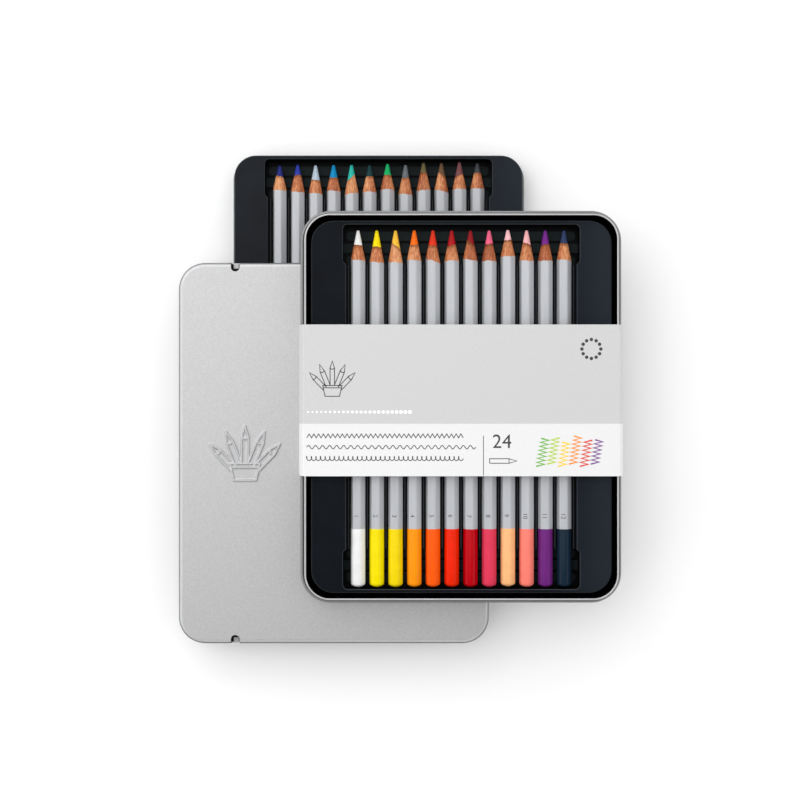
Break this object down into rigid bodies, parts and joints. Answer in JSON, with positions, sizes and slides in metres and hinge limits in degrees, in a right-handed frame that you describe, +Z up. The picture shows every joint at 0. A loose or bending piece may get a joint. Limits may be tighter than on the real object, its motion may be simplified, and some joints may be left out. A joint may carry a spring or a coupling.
{
  "type": "colored pencil box",
  "caption": "Flat silver tinplate box of hexagonal colored pencils in black trays, opened out with its lid beside it and a paper band round the tin.",
  "frame": {"origin": "middle of the opened-out stack's footprint, on the surface that it lies on", "axes": "+Z up, +X across the pencils to the right, +Y along the pencils towards their points"},
  "size_m": [0.2196, 0.2472, 0.0414],
  "materials": {
    "tinplate": "satin, fine grain",
    "black_plastic": "satin, moulded",
    "printed_card": "matt print",
    "silver_lacquer": "silver-grey lacquer on wood",
    "pigment_white": "waxy",
    "pigment_yellow": "waxy",
    "pigment_gold": "waxy",
    "pigment_light_orange": "waxy",
    "pigment_orange": "waxy",
    "pigment_red": "waxy",
    "pigment_dark_red": "waxy",
    "pigment_rose": "waxy",
    "pigment_peach": "waxy",
    "pigment_salmon": "waxy",
    "pigment_purple": "waxy",
    "pigment_navy": "waxy",
    "pigment_dark_blue": "waxy",
    "pigment_blue": "waxy",
    "pigment_pale_blue": "waxy",
    "pigment_sky_blue": "waxy",
    "pigment_turquoise": "waxy",
    "pigment_teal": "waxy",
    "pigment_green": "waxy",
    "pigment_grey": "waxy",
    "pigment_olive": "waxy",
    "pigment_brown": "waxy",
    "pigment_mauve": "waxy",
    "pigment_black": "waxy"
  },
  "bodies": {
    "tin": {"tin_base": "tinplate"},
    "lower_tray": {"lower_tray": "black_plastic"},
    "upper_tray": {"upper_tray": "black_plastic"},
    "lid": {"lid": "tinplate"},
    "paper_band": {"paper_band": "printed_card"},
    "pencil_white": {"pencil_white_casing": "silver_lacquer", "pencil_white_core": "pigment_white"},
    "pencil_yellow": {"pencil_yellow_casing": "silver_lacquer", "pencil_yellow_core": "pigment_yellow"},
    "pencil_gold": {"pencil_gold_casing": "silver_lacquer", "pencil_gold_core": "pigment_gold"},
    "pencil_light_orange": {"pencil_light_orange_casing": "silver_lacquer", "pencil_light_orange_core": "pigment_light_orange"},
    "pencil_orange": {"pencil_orange_casing": "silver_lacquer", "pencil_orange_core": "pigment_orange"},
    "pencil_red": {"pencil_red_casing": "silver_lacquer", "pencil_red_core": "pigment_red"},
    "pencil_dark_red": {"pencil_dark_red_casing": "silver_lacquer", "pencil_dark_red_core": "pigment_dark_red"},
    "pencil_rose": {"pencil_rose_casing": "silver_lacquer", "pencil_rose_core": "pigment_rose"},
    "pencil_peach": {"pencil_peach_casing": "silver_lacquer", "pencil_peach_core": "pigment_peach"},
    "pencil_salmon": {"pencil_salmon_casing": "silver_lacquer", "pencil_salmon_core": "pigment_salmon"},
    "pencil_purple": {"pencil_purple_casing": "silver_lacquer", "pencil_purple_core": "pigment_purple"},
    "pencil_navy": {"pencil_navy_casing": "silver_lacquer", "pencil_navy_core": "pigment_navy"},
    "pencil_dark_blue": {"pencil_dark_blue_casing": "silver_lacquer", "pencil_dark_blue_core": "pigment_dark_blue"},
    "pencil_blue": {"pencil_blue_casing": "silver_lacquer", "pencil_blue_core": "pigment_blue"},
    "pencil_pale_blue": {"pencil_pale_blue_casing": "silver_lacquer", "pencil_pale_blue_core": "pigment_pale_blue"},
    "pencil_sky_blue": {"pencil_sky_blue_casing": "silver_lacquer", "pencil_sky_blue_core": "pigment_sky_blue"},
    "pencil_turquoise": {"pencil_turquoise_casing": "silver_lacquer", "pencil_turquoise_core": "pigment_turquoise"},
    "pencil_teal": {"pencil_teal_casing": "silver_lacquer", "pencil_teal_core": "pigment_teal"},
    "pencil_green": {"pencil_green_casing": "silver_lacquer", "pencil_green_core": "pigment_green"},
    "pencil_grey": {"pencil_grey_casing": "silver_lacquer", "pencil_grey_core": "pigment_grey"},
    "pencil_olive": {"pencil_olive_casing": "silver_lacquer", "pencil_olive_core": "pigment_olive"},
    "pencil_brown": {"pencil_brown_casing": "silver_lacquer", "pencil_brown_core": "pigment_brown"},
    "pencil_mauve": {"pencil_mauve_casing": "silver_lacquer", "pencil_mauve_core": "pigment_mauve"},
    "pencil_black": {"pencil_black_casing": "silver_lacquer", "pencil_black_core": "pigment_black"}
  },
  "joints": [
    {"name": "lower_tray_lift", "type": "slide", "parent": "tin", "child": "lower_tray", "axis": [0, 0, 1], "range_m": [0, 0.0025]},
    {"name": "lid_slide", "type": "slide", "parent": "tin", "child": "lid", "axis": [-1, 0, 0], "range_m": [0, 0.15]},
    {"name": "upper_tray_slide", "type": "slide", "parent": "tin", "child": "upper_tray", "axis": [0, 1, 0], "range_m": [0, 0.16]},
    {"name": "band_slide", "type": "slide", "parent": "tin", "child": "paper_band", "axis": [0, 1, 0], "range_m": [-0.14, 0.14]},
    {"name": "pencil_white_slide", "type": "slide", "parent": "lower_tray", "child": "pencil_white", "axis": [0, 1, 0], "range_m": [-0.00041, 0.00239]},
    {"name": "pencil_yellow_slide", "type": "slide", "parent": "lower_tray", "child": "pencil_yellow", "axis": [0, 1, 0], "range_m": [-0.00041, 0.00239]},
    {"name": "pencil_gold_slide", "type": "slide", "parent": "lower_tray", "child": "pencil_gold", "axis": [0, 1, 0], "range_m": [-0.00038, 0.00242]},
    {"name": "pencil_light_orange_slide", "type": "slide", "parent": "lower_tray", "child": "pencil_light_orange", "axis": [0, 1, 0], "range_m": [-0.00044, 0.00236]},
    {"name": "pencil_orange_slide", "type": "slide", "parent": "lower_tray", "child": "pencil_orange", "axis": [0, 1, 0], "range_m": [-0.00041, 0.00239]},
    {"name": "pencil_red_slide", "type": "slide", "parent": "lower_tray", "child": "pencil_red", "axis": [0, 1, 0], "range_m": [-0.00044, 0.00236]},
    {"name": "pencil_dark_red_slide", "type": "slide", "parent": "lower_tray", "child": "pencil_dark_red", "axis": [0, 1, 0], "range_m": [-0.00034, 0.00246]},
    {"name": "pencil_rose_slide", "type": "slide", "parent": "lower_tray", "child": "pencil_rose", "axis": [0, 1, 0], "range_m": [-0.00041, 0.00239]},
    {"name": "pencil_peach_slide", "type": "slide", "parent": "lower_tray", "child": "pencil_peach", "axis": [0, 1, 0], "range_m": [-0.0007, 0.0021]},
    {"name": "pencil_salmon_slide", "type": "slide", "parent": "lower_tray", "child": "pencil_salmon", "axis": [0, 1, 0], "range_m": [-0.00044, 0.00236]},
    {"name": "pencil_purple_slide", "type": "slide", "parent": "lower_tray", "child": "pencil_purple", "axis": [0, 1, 0], "range_m": [-0.00041, 0.00239]},
    {"name": "pencil_navy_slide", "type": "slide", "parent": "lower_tray", "child": "pencil_navy", "axis": [0, 1, 0], "range_m": [-0.00038, 0.00242]},
    {"name": "pencil_dark_blue_slide", "type": "slide", "parent": "upper_tray", "child": "pencil_dark_blue", "axis": [0, 1, 0], "range_m": [-0.00018, 0.00262]},
    {"name": "pencil_blue_slide", "type": "slide", "parent": "upper_tray", "child": "pencil_blue", "axis": [0, 1, 0], "range_m": [-0.0006, 0.0022]},
    {"name": "pencil_pale_blue_slide", "type": "slide", "parent": "upper_tray", "child": "pencil_pale_blue", "axis": [0, 1, 0], "range_m": [-0.00031, 0.00249]},
    {"name": "pencil_sky_blue_slide", "type": "slide", "parent": "upper_tray", "child": "pencil_sky_blue", "axis": [0, 1, 0], "range_m": [-0.0005, 0.0023]},
    {"name": "pencil_turquoise_slide", "type": "slide", "parent": "upper_tray", "child": "pencil_turquoise", "axis": [0, 1, 0], "range_m": [-0.0005, 0.0023]},
    {"name": "pencil_teal_slide", "type": "slide", "parent": "upper_tray", "child": "pencil_teal", "axis": [0, 1, 0], "range_m": [-0.00031, 0.00249]},
    {"name": "pencil_green_slide", "type": "slide", "parent": "upper_tray", "child": "pencil_green", "axis": [0, 1, 0], "range_m": [-0.00102, 0.00178]},
    {"name": "pencil_grey_slide", "type": "slide", "parent": "upper_tray", "child": "pencil_grey", "axis": [0, 1, 0], "range_m": [-0.0005, 0.0023]},
    {"name": "pencil_olive_slide", "type": "slide", "parent": "upper_tray", "child": "pencil_olive", "axis": [0, 1, 0], "range_m": [-0.00159, 0.00121]},
    {"name": "pencil_brown_slide", "type": "slide", "parent": "upper_tray", "child": "pencil_brown", "axis": [0, 1, 0], "range_m": [-0.0015, 0.0013]},
    {"name": "pencil_mauve_slide", "type": "slide", "parent": "upper_tray", "child": "pencil_mauve", "axis": [0, 1, 0], "range_m": [-0.00204, 0.00076]},
    {"name": "pencil_black_slide", "type": "slide", "parent": "upper_tray", "child": "pencil_black", "axis": [0, 1, 0], "range_m": [-0.0014, 0.0014]}
  ]
}
